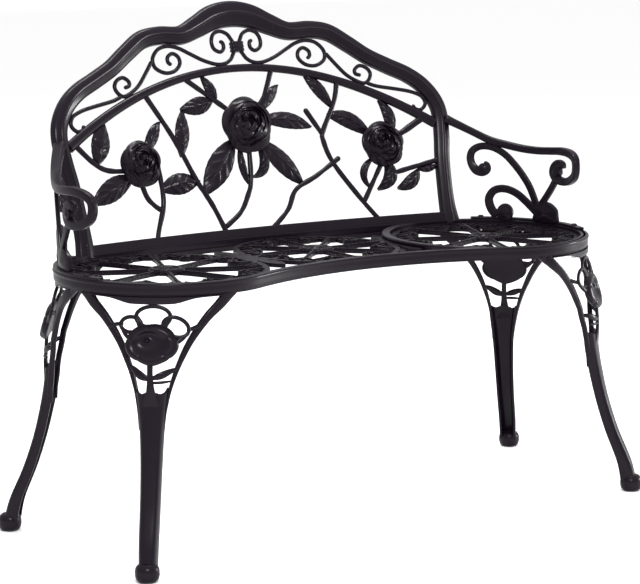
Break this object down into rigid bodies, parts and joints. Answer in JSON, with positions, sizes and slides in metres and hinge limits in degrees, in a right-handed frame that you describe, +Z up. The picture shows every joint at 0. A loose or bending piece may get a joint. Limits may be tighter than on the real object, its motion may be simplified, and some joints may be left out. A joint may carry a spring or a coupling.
{
  "type": "garden bench",
  "caption": "Cast aluminium garden bench in charcoal powder coat, with a rose-branch back, volute arms, a kidney-shaped seat of openwork medallions and cabriole legs.",
  "frame": {"origin": "centre of the footprint of the whole bench, on the floor", "axes": "+X along the bench, to the right seen from the front; +Y to the back; +Z up"},
  "size_m": [1.021, 0.5224, 0.7901],
  "materials": {
    "coat": "satin",
    "coat_relief": "satin",
    "steel": "brushed",
    "glide_plastic": "matte"
  },
  "bodies": {
    "root": {"top_rail": "coat", "arch_rail": "coat", "back_band": "coat", "scrolls_left": "coat_relief", "scrolls_right": "coat_relief", "collar": "coat_relief", "vine_left": "coat_relief", "vine_center": "coat_relief", "vine_right": "coat_relief", "rose_left": "coat", "rose_center": "coat", "rose_right": "coat", "armrest_left": "coat", "armrest_right": "coat", "seat_rim": "coat", "medallion_left": "coat_relief", "medallion_center": "coat_relief", "medallion_right": "coat_relief", "leg_front_left": "coat", "leg_front_right": "coat", "leg_rear_left": "coat", "leg_rear_right": "coat", "foot_glides": "glide_plastic", "leg_bolts": "steel", "arm_bolts": "coat", "post_bolts": "steel"}
  },
  "joints": []
}
